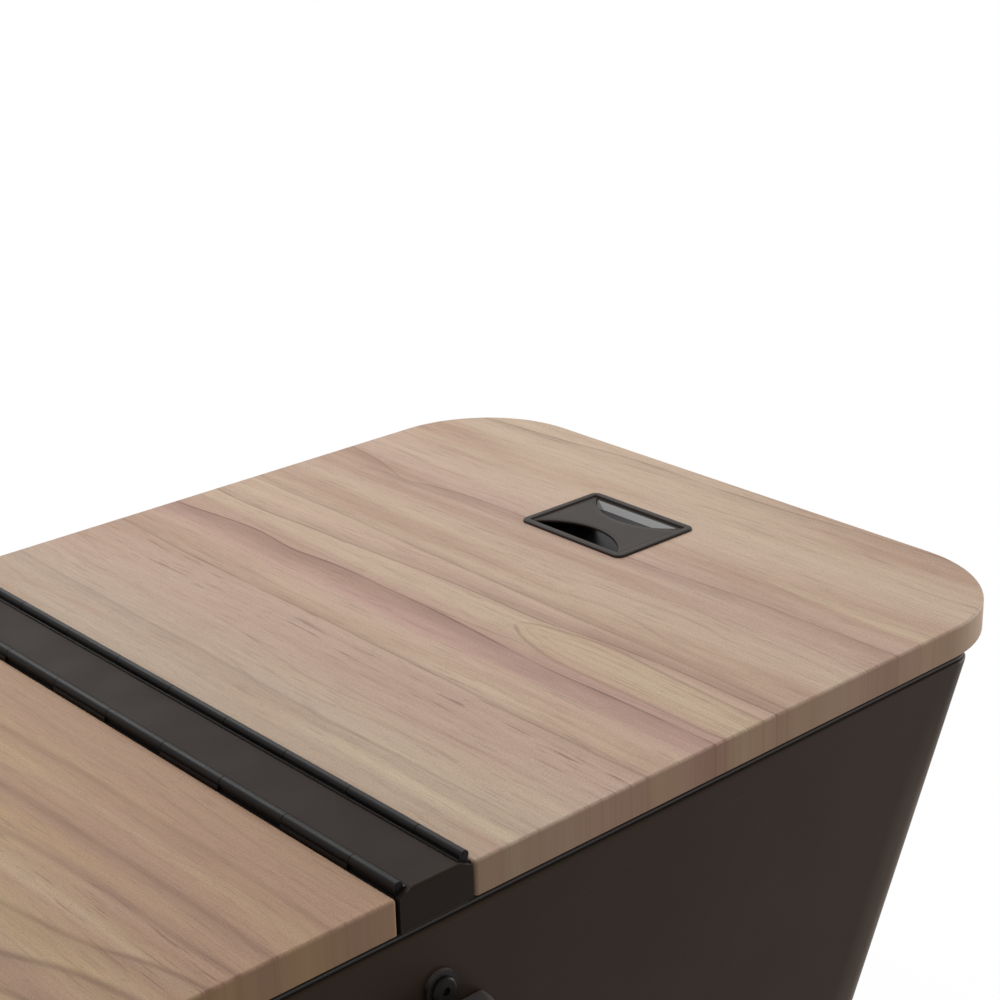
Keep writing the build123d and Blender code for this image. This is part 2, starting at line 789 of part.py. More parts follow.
# Rails between the end frames, and the shelf on them
rail_half = shelf_cross_x - frame_tube / 2 - fit / 2
for name, end in ends.items():
    with BuildPart() as shelf_rail:
        with Locations((0, end * shelf_rail_y, shelf_rail_mid)):
            Box(2 * rail_half, frame_tube, frame_tube)
            Box(
                2 * (rail_half - foot_plate),
                frame_tube - 2 * tube_wall,
                frame_tube - 2 * tube_wall,
                mode=Mode.SUBTRACT,
            )
            Cylinder(bolt_r + fit, 4 * rail_half, rotation=(0, 90, 0), mode=Mode.SUBTRACT)
    save(shelf_rail.part, f"shelf_rail_{name}")

shelf_half = shelf_cross_x + frame_tube / 2
shelf_half_depth = leg_y - leg_tube / 2 - shelf_side_gap
slot_pitch = 2 * (shelf_half_depth - slot_margin) / (slot_count - 1)
with BuildPart() as lower_shelf:
    with BuildSketch(Plane.XY.offset(shelf_height)):
        Rectangle(2 * shelf_half, 2 * shelf_half_depth)
        with GridLocations(0, slot_pitch, 1, slot_count):
            SlotOverall(2 * (shelf_half - frame_tube - slot_margin), slot_wide, mode=Mode.SUBTRACT)
    extrude(amount=shelf_sheet)
    for end in (-1, 1):
        lip_y = end * (shelf_half_depth - shelf_sheet / 2)
        with Locations((0, lip_y, shelf_height - shelf_lip / 2)):
            Box(2 * rail_half, shelf_sheet, shelf_lip)
save(lower_shelf.part, "lower_shelf")

# Bolts: shelf rails to the end frames, and the tub to the end frames
with BuildPart() as frame_bolts:
    for side in (-1, 1):
        outer = side * (shelf_cross_x + frame_tube / 2)
        with Locations(*[(outer, end * shelf_rail_y, shelf_rail_mid) for end in (-1, 1)]):
            Cylinder(
                bolt_head_r,
                bolt_head,
                rotation=(0, side * 90, 0),
                align=(Align.CENTER, Align.CENTER, Align.MIN),
            )
            Cylinder(
                bolt_r,
                frame_tube + 3 * foot_plate,
                rotation=(0, -side * 90, 0),
                align=(Align.CENTER, Align.CENTER, Align.MIN),
            )
save(frame_bolts.part, "frame_bolts")

with BuildPart() as tub_bolts:
    with Locations(*[(sx * frame_x, sy * tub_bolt_y, frame_bottom) for sx in (-1, 1) for sy in (-1, 1)]):
        Cylinder(bolt_head_r, bolt_head, align=(Align.CENTER, Align.CENTER, Align.MAX))
        Cylinder(bolt_r, floor_top - frame_bottom, align=(Align.CENTER, Align.CENTER, Align.MIN))
save(tub_bolts.part, "tub_bolts")

# Casters, trailing to the left at rest
blade_inner = wheel_wide / 2 + wheel_side_gap
blade_outer = blade_inner + blade_thick
brake_z = crown_top - brake_ear_r
brake_pin_back = trail + brake_pin_behind


def caster_stem(x, y):
    """Stem, collar and kingpin, fixed in the leg's foot."""
    kingpin_low = crown_bottom - swivel_gap - kingpin_head
    with BuildPart() as stem:
        with Locations((x, y, collar_bottom)):
            Cylinder(collar_r, collar_thick, align=(Align.CENTER, Align.CENTER, Align.MIN))
        with Locations((x, y, leg_bottom)):
            Cylinder(stem_r, stem_long, align=(Align.CENTER, Align.CENTER, Align.MIN))
        with Locations((x, y, kingpin_low)):
            Cylinder(kingpin_r, collar_bottom - kingpin_low, align=(Align.CENTER, Align.CENTER, Align.MIN))
            Cylinder(kingpin_head_r, kingpin_head, align=(Align.CENTER, Align.CENTER, Align.MIN))
    return stem.part


def caster_fork(x, y, braked):
    """Swivelling fork with two blades; the braked ones have ears for the pedal."""
    with BuildPart() as fork:
        for low in (y - blade_outer, y + blade_inner):
            with BuildSketch(Plane.XZ.offset(-low - blade_thick)):
                with Locations((x - trail, wheel_r)):
                    Circle(axle_eye_r)
                with Locations((x + (crown_front - crown_back) / 2, crown_bottom + crown_thick / 2)):
                    Rectangle(crown_front + crown_back, crown_thick)
                if braked:
                    with Locations((x - brake_pin_back, brake_z)):
                        Circle(brake_ear_r)
                make_hull()
                with Locations((x - trail, wheel_r)):
                    Circle(axle_r + running, mode=Mode.SUBTRACT)
                if braked:
                    with Locations((x - brake_pin_back, brake_z)):
                        Circle(brake_pin_r + running, mode=Mode.SUBTRACT)
            extrude(amount=blade_thick)
        with BuildSketch(Plane.XY.offset(crown_bottom)):
            with Locations((x + (crown_front - crown_back) / 2, y)):
                Rectangle(crown_front + crown_back, 2 * blade_outer)
            with Locations((x, y)):
                Circle(kingpin_r + running, mode=Mode.SUBTRACT)
        extrude(amount=crown_thick)
    return fork.part


def caster_axle(x, y):
    """Axle bolt with its nut."""
    with BuildPart() as axle:
        with Locations((x - trail, y, wheel_r)):
            Cylinder(axle_r, 2 * (blade_outer + axle_head), rotation=(90, 0, 0))
        for end in (-1, 1):
            with Locations((x - trail, y + end * (blade_outer + axle_head / 2), wheel_r)):
                Cylinder(axle_head_r, axle_head, rotation=(90, 0, 0))
    return axle.part


def wheel_hub(x, y):
    """Hub with a boss, a web and a rim."""
    hub_wide = wheel_wide - 2 * running
    with BuildPart() as hub:
        with Locations((x - trail, y, wheel_r)):
            Cylinder(hub_r, hub_wide, rotation=(90, 0, 0))
        for end in (-1, 1):
            with Locations((x - trail, y + end * (hub_wide + hub_web) / 4, wheel_r)):
                Cylinder(hub_r - hub_rim, (hub_wide - hub_web) / 2, rotation=(90, 0, 0), mode=Mode.SUBTRACT)
        with Locations((x - trail, y, wheel_r)):
            Cylinder(hub_boss_r, 2 * (blade_inner - fit), rotation=(90, 0, 0))
            Cylinder(axle_r + running, 2 * wheel_wide, rotation=(90, 0, 0), mode=Mode.SUBTRACT)
    return hub.part


def wheel_tyre(x, y):
    """Solid tyre on the hub's rim."""
    with BuildPart() as tyre:
        with Locations((x - trail, y, wheel_r)):
            Cylinder(wheel_r, wheel_wide, rotation=(90, 0, 0))
        fillet(tyre.edges(), tyre_edge_r)
        with Locations((x - trail, y, wheel_r)):
            Cylinder(hub_r + running, 2 * wheel_wide, rotation=(90, 0, 0), mode=Mode.SUBTRACT)
    return tyre.part


def brake_pedal(x, y):
    """Brake pedal on its cross pin, between the fork's ears."""
    pin_x = x - brake_pin_back
    with BuildPart() as pedal:
        with Locations((pin_x, y, brake_z)):
            Cylinder(brake_pin_r, 2 * blade_outer, rotation=(90, 0, 0))
            Cylinder(brake_ear_r - fit, brake_wide, rotation=(90, 0, 0))
        with Locations((pin_x - brake_tail / 2, y, brake_z)):
            Box(brake_tail, brake_wide, brake_thick)
        with Locations((pin_x - brake_shoe_back, y, brake_z - brake_shoe_drop / 2)):
            Box(2 * brake_shoe_r, brake_wide, brake_shoe_drop)
        with Locations((pin_x - brake_shoe_back, y, brake_z - brake_shoe_drop)):
            Cylinder(brake_shoe_r, brake_wide, rotation=(90, 0, 0))
        fillet(pedal.faces().sort_by(Axis.X)[0].edges().filter_by(Axis.Z), brake_thick)
    return pedal.part


for end_name, end in ends.items():
    for side_name, side in sides.items():
        corner = f"{end_name}_{side_name}"
        place = (side * foot_x, end * leg_y)
        braked = end_name == "front"
        save(caster_stem(*place), f"caster_stem_{corner}")
        save(caster_fork(*place, braked), f"fork_{corner}")
        save(caster_axle(*place), f"axle_{corner}")
        save(wheel_hub(*place), f"hub_{corner}")
        save(wheel_tyre(*place), f"tyre_{corner}")
        if braked:
            save(brake_pedal(*place), f"brake_pedal_{corner}")
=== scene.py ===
import json
import math

import bmesh
import bpy
from mathutils import Matrix, Vector


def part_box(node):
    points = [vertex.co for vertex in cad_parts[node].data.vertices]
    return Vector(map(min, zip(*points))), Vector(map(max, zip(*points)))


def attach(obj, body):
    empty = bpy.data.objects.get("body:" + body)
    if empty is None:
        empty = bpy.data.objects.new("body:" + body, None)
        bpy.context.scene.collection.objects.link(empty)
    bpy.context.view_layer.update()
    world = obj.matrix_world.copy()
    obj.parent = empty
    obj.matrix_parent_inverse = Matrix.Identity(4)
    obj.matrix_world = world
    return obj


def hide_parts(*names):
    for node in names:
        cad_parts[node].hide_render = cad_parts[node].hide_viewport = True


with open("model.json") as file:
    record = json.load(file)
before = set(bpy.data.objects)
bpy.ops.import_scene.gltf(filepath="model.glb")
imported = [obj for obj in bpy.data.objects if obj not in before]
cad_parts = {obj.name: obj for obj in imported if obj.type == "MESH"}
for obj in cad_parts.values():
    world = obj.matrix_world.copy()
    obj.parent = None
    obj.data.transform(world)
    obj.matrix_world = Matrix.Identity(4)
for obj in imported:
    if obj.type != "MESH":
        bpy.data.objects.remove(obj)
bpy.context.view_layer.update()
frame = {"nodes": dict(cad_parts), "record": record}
nodes = frame["nodes"]
scene = bpy.context.scene

MM = 0.001
WHITE = (1.0, 1.0, 1.0)

# Most of a noise's values lie between these two, so colours and gloss are spread over that range
NOISE_LOW, NOISE_HIGH = 0.3, 0.7


class Tree:
    """A node tree, and short ways to add nodes to it."""

    def __init__(self, tree):
        self.tree = tree

    def node(self, kind, **settings):
        made = self.tree.nodes.new(kind)
        for key, value in settings.items():
            setattr(made, key, value)
        return made

    def feed(self, socket, value):
        if isinstance(value, bpy.types.NodeSocket):
            self.tree.links.new(value, socket)
        else:
            socket.default_value = value

    def math(self, operation, *values):
        made = self.node("ShaderNodeMath", operation=operation)
        for socket, value in zip(made.inputs, values):
            self.feed(socket, value)
        return made.outputs[0]

    def times(self, first, *others):
        for other in others:
            first = self.math("MULTIPLY", first, other)
        return first

    def span(self, value, low, high, out_low=0.0, out_high=1.0, kind="SMOOTHSTEP"):
        made = self.node("ShaderNodeMapRange", interpolation_type=kind)
        for socket, item in zip(made.inputs, (value, low, high, out_low, out_high)):
            self.feed(socket, item)
        return made.outputs[0]

    def pick(self, factor, first, second):
        made = self.node("ShaderNodeMixShader")
        for socket, value in zip(made.inputs, (factor, first, second)):
            self.feed(socket, value)
        return made.outputs[0]


class Graph(Tree):
    """A material's node tree with a Principled shader."""

    def __init__(self, name, roughness, **sockets):
        self.material = bpy.data.materials.new(name)
        self.material.use_nodes = True
        super().__init__(self.material.node_tree)
        self.shader = self.tree.nodes["Principled BSDF"]
        self.shader.inputs["Roughness"].default_value = roughness
        for socket, value in sockets.items():
            self.shader.inputs[socket.replace("_", " ")].default_value = value
        self.place = self.node("ShaderNodeTexCoord").outputs["Object"]

    def split(self, vector):
        made = self.node("ShaderNodeSeparateXYZ")
        self.feed(made.inputs[0], vector)
        return made.outputs

    def join(self, x, y, z):
        made = self.node("ShaderNodeCombineXYZ")
        for socket, value in zip(made.inputs, (x, y, z)):
            self.feed(socket, value)
        return made.outputs[0]

    def facing_up(self):
        return self.split(self.node("ShaderNodeNewGeometry").outputs["Normal"])[2]

    def stretched(self, scale):
        made = self.node("ShaderNodeMapping")
        self.feed(made.inputs["Vector"], self.place)
        made.inputs["Scale"].default_value = scale
        return made.outputs[0]

    def noise(self, vector, scale=1.0, detail=3.0, rough=0.5):
        made = self.node("ShaderNodeTexNoise")
        self.feed(made.inputs["Vector"], vector)
        made.inputs["Scale"].default_value = scale
        made.inputs["Detail"].default_value = detail
        made.inputs["Roughness"].default_value = rough
        return made.outputs["Fac"]

    def blend(self, factor, first, second, mode="MIX"):
        made = self.node("ShaderNodeMix", data_type="RGBA", blend_type=mode)
        self.feed(made.inputs[0], factor)
        for socket, value in ((made.inputs[6], first), (made.inputs[7], second)):
            self.feed(socket, value if isinstance(value, bpy.types.NodeSocket) else (*value, 1.0))
        return made.outputs[2]

    def tinted(self, first, second, factor=1.0):
        return self.blend(factor, first, second, "MULTIPLY")

    def ramp(self, value, stops):
        made = self.node("ShaderNodeValToRGB")
        self.feed(made.inputs[0], value)
        elements = made.color_ramp.elements
        elements[0].position, elements[1].position = stops[0][0], stops[-1][0]
        for position, colour in stops[1:-1]:
            elements.new(position)
        for element, (position, colour) in zip(elements, stops):
            element.position = position
            element.color = (*colour, 1.0)
        return made.outputs[0]

    def curve(self, value, points):
        """A smooth curve through points whose two numbers both run from 0 to 1."""
        made = self.node("ShaderNodeFloatCurve")
        self.feed(made.inputs["Value"], value)
        line = made.mapping.curves[0].points
        for point, place in zip(line, (points[0], points[-1])):
            point.location = place
        for place in points[1:-1]:
            line.new(*place)
        made.mapping.update()
        return made.outputs[0]

    def colour(self, value):
        self.feed(self.shader.inputs["Base Color"], value)

    def rough(self, value):
        self.feed(self.shader.inputs["Roughness"], value)

    def bump(self, height, strength, distance):
        made = self.node("ShaderNodeBump")
        made.inputs["Strength"].default_value = strength
        made.inputs["Distance"].default_value = distance
        self.feed(made.inputs["Height"], height)
        self.tree.links.new(made.outputs[0], self.shader.inputs["Normal"])


def linear(red, green, blue):
    """A colour written in 0 to 255 as shown, turned into the shader's linear light."""
    shares = [part / 255 for part in (red, green, blue)]
    return tuple(s / 12.92 if s < 0.0404 else ((s + 0.055) / 1.055) ** 2.4 for s in shares)


def scaled(colour, factor, added=0.0):
    """A colour made darker or paler."""
    return tuple(min(1.0, part * factor + added) for part in colour)


# Wood film. The grain runs along Y, and places across it are distances from the spine's middle plane.
lid_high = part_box("lid_board_right")[1]
GRAIN_REACH = lid_high[1] + 15 * MM
GRAIN_WIDE = lid_high[0] + 11 * MM
WOOD_ROUGH = 0.46
WOOD_ROUGH_RANGE = (0.42, 0.52)
WOOD_SPECULAR = 0.10
WOOD_BUMP, WOOD_DEPTH = 0.10, 0.3 * MM
WANDER = 10 * MM
SEED = 3.1

# Noise of the grain: waves per metre across it and along it, shift of the seed, detail, roughness
GRAIN_NOISE = {
    "wander": (9.0, 5.0, 0.0, 2.0, 0.5),
    "broad": (26.0, 2.6, 0.0, 3.0, 0.55),
    "pale": (34.0, 1.7, 7.0, 3.0, 0.5),
    "streak": (190.0, 3.4, 0.0, 4.0, 0.6),
    "broken": (60.0, 16.0, 0.0, 2.0, 0.5),
    "bend": (14.0, 4.0, 2.0, 2.0, 0.5),
    "shown": (40.0, 6.0, 4.0, 2.0, 0.5),
    "fibre": (1500.0, 42.0, 0.0, 2.0, 0.6),
    "dash": (620.0, 24.0, 9.0, 2.0, 0.5),
    "pore": (900.0, 110.0, 0.0, 1.0, 0.5),
    "speck": (1700.0, 800.0, 0.0, 2.0, 0.5),
}

# How far each noise has to rise before its mark shows, and shows in full
MARK_RANGE = {
    "broad": (0.42, 0.72),
    "pale": (0.52, 0.78),
    "shown": (0.40, 0.65),
    "dash": (0.60, 0.68),
    "pore": (0.62, 0.78),
}

# Colours that multiply the film over a noise's range
GRAIN_SHADES = {
    "streak": [(0.3, (0.92, 0.90, 0.89)), (0.55, WHITE), (0.75, (1.04, 1.04, 1.02))],
    "fibre": [(0.25, (0.86, 0.85, 0.84)), (0.5, WHITE), (0.75, (1.08, 1.08, 1.07))],
    "speck": [(0.3, (0.87, 0.86, 0.85)), (0.7, (1.11, 1.11, 1.10))],
}

# Inks of the marks, and how strongly each is printed
ROSY = linear(174, 144, 128)
PALE, PALE_INK = linear(200, 182, 158), 0.7
GROWTH, GROWTH_SHADE = linear(106, 76, 66), 0.42
RING, RING_INK = linear(128, 98, 86), 0.17
HEART, HEART_INK = linear(188, 162, 136), 0.28
NESTED, NESTED_INK = linear(140, 110, 94), 0.22
LOOP, LOOP_INK = linear(132, 104, 92), 0.5
DASH, DASH_INK, DASH_LEAST = linear(118, 90, 76), 0.62, 0.24
PORE, PORE_INK = linear(112, 88, 76), 0.22
EDGE_PRINT_AND_SHADE = 0.7

# A growth line breaks where its noise is low. A face counts as an edge while it looks up less than this.
BROKEN_RANGE, BROKEN_INK = (0.25, 0.6), (0.45, 1.0)
EDGE_RANGE = (0.2, 0.7)

# Rings: sine waves across the grain, bent by noise. Dashes gather beside one place.
RING_WAVES, RING_BEND = 430.0, 26.0
RING_CREST = 0.86
NEST_WAVES, NEST_CREST = 1250.0, 0.6
LOOP_THIN, LOOP_FADE = 1.6, 6.0
DASH_AT, DASH_NEAR, DASH_FAR = 123 * MM, 6 * MM, 20 * MM


class Grain(Graph):
    """A wood film's graph, with places across and along the grain, and noise drawn out along it."""

    def __init__(self, name, side):
        super().__init__(name, WOOD_ROUGH, Specular_IOR_Level=WOOD_SPECULAR)
        self.x, self.y = self.split(self.place)[:2]
        self.seed = SEED * side
        self.along = self.math("ADD", self.math("DIVIDE", self.y, 2 * GRAIN_REACH), 0.5)
        drift = self.math("SUBTRACT", self.drawn("wander", self.x), 0.5)
        self.across = self.math("ADD", self.times(self.x, float(side)), self.times(drift, WANDER))

    def drawn(self, kind, across=None):
        """One noise of the grain, over the given place across it."""
        waves_across, waves_along, shift, detail, rough = GRAIN_NOISE[kind]
        sideways = self.times(self.across if across is None else across, waves_across)
        place = self.join(sideways, self.times(self.y, waves_along), self.seed + shift)
        return self.noise(place, 1.0, detail, rough)

    def mark(self, kind, across=None):
        return self.span(self.drawn(kind, across), *MARK_RANGE[kind])

    def shaded(self, colour, kind, noise):
        return self.tinted(colour, self.ramp(noise, GRAIN_SHADES[kind]))


def from_line(g, points):
    """Distance across the grain from a growth line through points, which are in millimetres."""
    ordered = sorted(points, key=lambda point: point[1])
    reach = 2 * GRAIN_REACH
    curve = [((GRAIN_REACH + y * MM) / reach, x * MM / GRAIN_WIDE) for x, y in ordered]
    return g.math("SUBTRACT", g.across, g.times(g.curve(g.along, curve), GRAIN_WIDE))


def line_ink(g, away, thin):
    """How dark a growth line is near its place."""
    return g.span(g.math("ABSOLUTE", away), 0.0, thin * MM, 1.0, 0.0)


def side_shade(g, away, soft, soft_side):
    """A soft shade on one side of a growth line."""
    toward = g.times(away, float(soft_side))
    return g.times(g.span(toward, 0.0, soft * MM, 1.0, 0.0), g.math("GREATER_THAN", toward, 0.0))


def growth_lines(g, colour, lines):
    """Dark lines along the grain, broken here and there."""
    broken = g.span(g.drawn("broken"), *BROKEN_RANGE, *BROKEN_INK)
    for points, thin, soft, soft_side, strength in lines:
        away = from_line(g, points)
        shade = g.times(side_shade(g, away, soft, soft_side), GROWTH_SHADE)
        dark = g.math("MAXIMUM", line_ink(g, away, thin), shade)
        colour = g.blend(g.times(dark, broken, strength), colour, GROWTH)
    return colour


def rings(g, colour):
    """Faint year rings, in patches."""
    phase = g.math("ADD", g.times(g.across, RING_WAVES), g.times(g.drawn("bend"), RING_BEND))
    crest = g.span(g.math("SINE", phase), RING_CREST, 1.0)
    return g.blend(g.times(crest, g.mark("shown"), RING_INK), colour, RING)


def loop_figure(g, colour, left, right, apex):
    """A pointed loop in the grain, with lines nested inside it."""
    to_left, to_right = from_line(g, left), from_line(g, right)
    below = g.span(g.y, (apex - LOOP_FADE) * MM, apex * MM, 1.0, 0.0)
    inside = g.times(g.math("GREATER_THAN", to_left, 0.0), g.math("LESS_THAN", to_right, 0.0), below)
    colour = g.blend(g.times(inside, HEART_INK), colour, HEART)
    depth = g.math("MINIMUM", to_left, g.times(to_right, -1.0))
    nested = g.span(g.math("SINE", g.times(depth, NEST_WAVES)), NEST_CREST, 1.0)
    colour = g.blend(g.times(nested, inside, NESTED_INK), colour, NESTED)
    outline = g.math("MAXIMUM", line_ink(g, to_left, LOOP_THIN), line_ink(g, to_right, LOOP_THIN))
    return g.blend(g.times(outline, below, LOOP_INK), colour, LOOP)


def fine_marks(g, colour):
    """Dashes, pores and specks."""
    from_place = g.math("ABSOLUTE", g.math("SUBTRACT", g.across, DASH_AT))
    cluster = g.span(from_place, DASH_NEAR, DASH_FAR, DASH_INK, DASH_LEAST)
    colour = g.blend(g.times(g.mark("dash"), cluster), colour, DASH)
    colour = g.blend(g.times(g.mark("pore", g.x), PORE_INK), colour, PORE)
    return g.shaded(colour, "speck", g.drawn("speck", g.x))


def wood_film(name, side, bands, lines, lid_tint, edge, loop=None):
    """Printed wood grain: broad tints, streaks, growth lines and fine fibres, with a little bump."""
    g = Grain(name, side)
    stops = [(place * MM / GRAIN_WIDE, linear(*shown)) for place, shown in bands]
    tint = g.ramp(g.math("DIVIDE", g.across, GRAIN_WIDE), stops)
    colour = g.blend(g.mark("broad"), tint, ROSY)
    colour = g.blend(g.times(g.mark("pale"), PALE_INK), colour, PALE)
    colour = g.shaded(colour, "streak", g.drawn("streak"))
    colour = rings(g, growth_lines(g, colour, lines))
    if loop:
        colour = loop_figure(g, colour, *loop)
    fibre = g.drawn("fibre")
    colour = fine_marks(g, g.shaded(colour, "fibre", fibre))
    # Side faces: a plainer print, darkened and warmed by the edge colour as painted shade
    upright = g.span(g.facing_up(), *EDGE_RANGE, 1.0, 0.0)
    colour = g.blend(g.times(upright, EDGE_PRINT_AND_SHADE), colour, g.tinted(tint, edge))
    # The whole film is multiplied by its lid's tint: the left lid darker and yellower, the right a little
    # paler
    g.colour(g.tinted(colour, lid_tint))
    g.rough(g.span(fibre, NOISE_LOW, NOISE_HIGH, *WOOD_ROUGH_RANGE))
    g.bump(fibre, WOOD_BUMP, WOOD_DEPTH)
    return g.material


# Growth lines: points across and along in millimetres, width, soft width, the soft side, strength
right_lines = [
    (
        [
            (176, 238), (180, 198), (184, 158), (182, 118), (184.8, 78), (184.8, 30),
            (183, -42), (180, -82), (178, -122), (179, -162), (180, -238),
        ],
        1.5, 22, -1, 0.85,
    ),
    (
        [
            (210, 238), (208, 198), (210, 138), (212, 98), (216, 38),
            (218, -22), (218, -66), (222, -102), (224, -130), (226, -238),
        ],
        1.4, 14, 1, 0.62,
    ),
    (
        [
            (320, 238), (318, 206), (312, 178), (307, 158), (312, 138),
            (316, 106), (316, 54), (318, -60), (321, -150), (322, -238),
        ],
        1.4, 16, -1, 0.55,
    ),
    ([(136, 238), (134, 86), (134, 0), (132, -82), (131, -142), (132, -238)], 1.6, 5, 1, 0.42),
    ([(240, 238), (238, 60), (236, -42), (235, -122), (234, -238)], 2.0, 10, 1, 0.42),
    (
        [(420, 238), (424, 214), (432, 138), (438, 78), (436, 0), (440, -82), (444, -122), (446, -238)],
        1.5, 14, -1, 0.5,
    ),
    ([(64, 238), (62, 100), (60, -40), (64, -238)], 2.2, 16, -1, 0.26),
]
left_lines = [
    ([(66, 238), (64, 60), (60, -80), (58, -238)], 4.0, 10, 1, 0.30),
    ([(92, 238), (96, 60), (92, -80), (88, -238)], 4.0, 12, 1, 0.38),
    ([(120, 238), (118, 0), (112, -130), (106, -238)], 4.0, 9, -1, 0.36),
    (
        [(176, 238), (168, 60), (156, -60), (146, -140), (139, -175), (128, -205), (121, -238)],
        3.6, 22, 1, 0.52,
    ),
    ([(206, 238), (200, 40), (186, -90), (170, -150), (154, -190), (146, -238)], 4.5, 14, 1, 0.62),
    ([(236, 238), (228, 40), (208, -90), (190, -150), (178, -196), (176, -238)], 4.0, 12, -1, 0.55),
    ([(290, 238), (284, 60), (278, -60), (284, -238)], 2.4, 16, 1, 0.45),
    ([(338, 238), (330, 80), (334, -40), (328, -238)], 2.0, 20, -1, 0.55),
    ([(404, 238), (410, 60), (402, -80), (408, -238)], 1.8, 14, -1, 0.5),
]

# Tints across each lid: distance from the spine's middle in millimetres, colour as shown
right_bands = [
    (22, (176, 157, 140)), (60, (180, 158, 143)), (95, (184, 158, 145)), (128, (182, 155, 142)),
    (140, (194, 172, 152)), (165, (184, 152, 142)), (183, (176, 144, 134)), (200, (190, 168, 148)),
    (225, (188, 160, 146)), (245, (190, 168, 149)), (285, (188, 163, 148)), (312, (180, 152, 140)),
    (345, (192, 167, 152)), (400, (191, 170, 152)), (449, (190, 168, 150)),
]
left_bands = [
    (22, (180, 153, 132)), (48, (174, 145, 128)), (72, (184, 158, 128)), (95, (170, 140, 122)),
    (112, (184, 158, 126)), (134, (172, 144, 122)), (150, (186, 162, 130)), (172, (166, 136, 120)),
    (190, (182, 158, 130)), (212, (166, 136, 122)), (240, (180, 154, 130)), (280, (184, 158, 140)),
    (320, (176, 148, 134)), (360, (188, 166, 148)), (449, (186, 164, 146)),
]

# The loop's left and right sides, and how far along its point lies
right_loop = (
    [(206, -58), (200, -66), (194, -80), (188, -110), (187, -162), (187, -238)],
    [(206, -58), (212, -68), (216, -82), (220, -114), (218, -162), (216, -238)],
    -58,
)
# Edge colours darken the lids' sides as painted shade
right_lid_tint, right_edge_shade = (1.08, 1.08, 1.03), (0.76, 0.64, 0.53)
left_lid_tint, left_edge_shade = (0.97, 0.92, 0.83), (0.90, 0.84, 0.77)
wood = {
    "right": wood_film("wood_film_right", 1, right_bands, right_lines, right_lid_tint, right_edge_shade, right_loop),
    "left": wood_film("wood_film_left", -1, left_bands, left_lines, left_lid_tint, left_edge_shade),
}

# Painted metal
PAINT_CLOUD, PAINT_SHARE = 9.0, 0.07
PAINT_GLOSS_CLOUD, PAINT_GLOSS_SHARE = 40.0, 0.03
PAINT_DEPTH = 0.2 * MM
PEEL_DETAIL = 2.0


def clouded(g, colour, scale, share):
    """The colour, a little darker and paler in clouds."""
    stops = [(NOISE_LOW, scaled(colour, 1 - share)), (NOISE_HIGH, scaled(colour, 1 + share))]
    return g.ramp(g.noise(g.place, scale), stops)


def painted_gloss(g, roughness):
    cloud = g.noise(g.place, PAINT_GLOSS_CLOUD)
    low, high = roughness - PAINT_GLOSS_SHARE, roughness + PAINT_GLOSS_SHARE
    g.rough(g.span(cloud, NOISE_LOW, NOISE_HIGH, low, high))


def coated(name, shown, roughness, specular, grain, texture):
    """Paint on metal: a slight mottle in colour and gloss, and orange peel."""
    g = Graph(name, roughness, Specular_IOR_Level=specular)
    g.colour(clouded(g, linear(*shown), PAINT_CLOUD, PAINT_SHARE))
    painted_gloss(g, roughness)
    g.bump(g.noise(g.place, grain, PEEL_DETAIL), texture, PAINT_DEPTH)
    return g.material


# Colour as shown, roughness, specular level, fineness and strength of the orange peel
COATS = {
    "powder_coat": ((56, 45, 37), 0.46, 0.08, 900.0, 0.06),
    "hinge_black": ((27, 24, 23), 0.38, 0.10, 1200.0, 0.03),
    "pedal_steel": ((40, 40, 41), 0.40, 0.30, 900.0, 0.06),
    "gloss_black": ((34, 29, 27), 0.11, 0.50, 300.0, 0.02),
    "rim_coat": ((30, 26, 24), 0.60, 0.05, 900.0, 0.06),
    "spine_coat": ((45, 37, 32), 0.48, 0.05, 900.0, 0.06),
    # The pulls' one coat in three copies: gloss, a paler copy as painted sheen on rim and plate, and a
    # darker copy as painted shade in the bowl
    "pull_painted_sheen": ((50, 43, 39), 0.36, 0.08, 500.0, 0.03),
    "pull_shade": ((30, 25, 23), 0.22, 0.10, 300.0, 0.02),
}

# The opener's painted casting
CAST_CLOUD, CAST_SHARE = 60.0, 0.1
CAST_SKIN, CAST_GLOSS_SHARE, CAST_BUMP = 700.0, 0.05, 0.10
UP_LIT_RANGE = (0.25, 0.9)


def cast(name, shown, lit_from_above, roughness, specular):
    """Painted casting: a rough skin, painted paler where its faces look up, as light from above."""
    g = Graph(name, roughness, Specular_IOR_Level=specular)
    skin = g.noise(g.place, CAST_SKIN)
    plain = clouded(g, linear(*shown), CAST_CLOUD, CAST_SHARE)
    g.colour(g.blend(g.span(g.facing_up(), *UP_LIT_RANGE), plain, linear(*lit_from_above)))
    low, high = roughness - CAST_GLOSS_SHARE, roughness + CAST_GLOSS_SHARE
    g.rough(g.span(skin, NOISE_LOW, NOISE_HIGH, low, high))
    g.bump(skin, CAST_BUMP, PAINT_DEPTH)
    return g.material


# The tub's coat, with a painted sheen near its upright corners. Its end walls slope, and the hem's rounding
# pulls their top edge in.
tub_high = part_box("tub_wrap")[1]
END_SLOPE = math.tan(math.radians(25.7))
HEM_PULL = 1.18 * MM
SHEEN_INNER, SHEEN_OUTER = 16 * MM, 40 * MM
SHEEN_BELOW, SHEEN_ABOVE = 87 * MM, 3 * MM
TUB_PEEL, TUB_TEXTURE = 900.0, 0.06


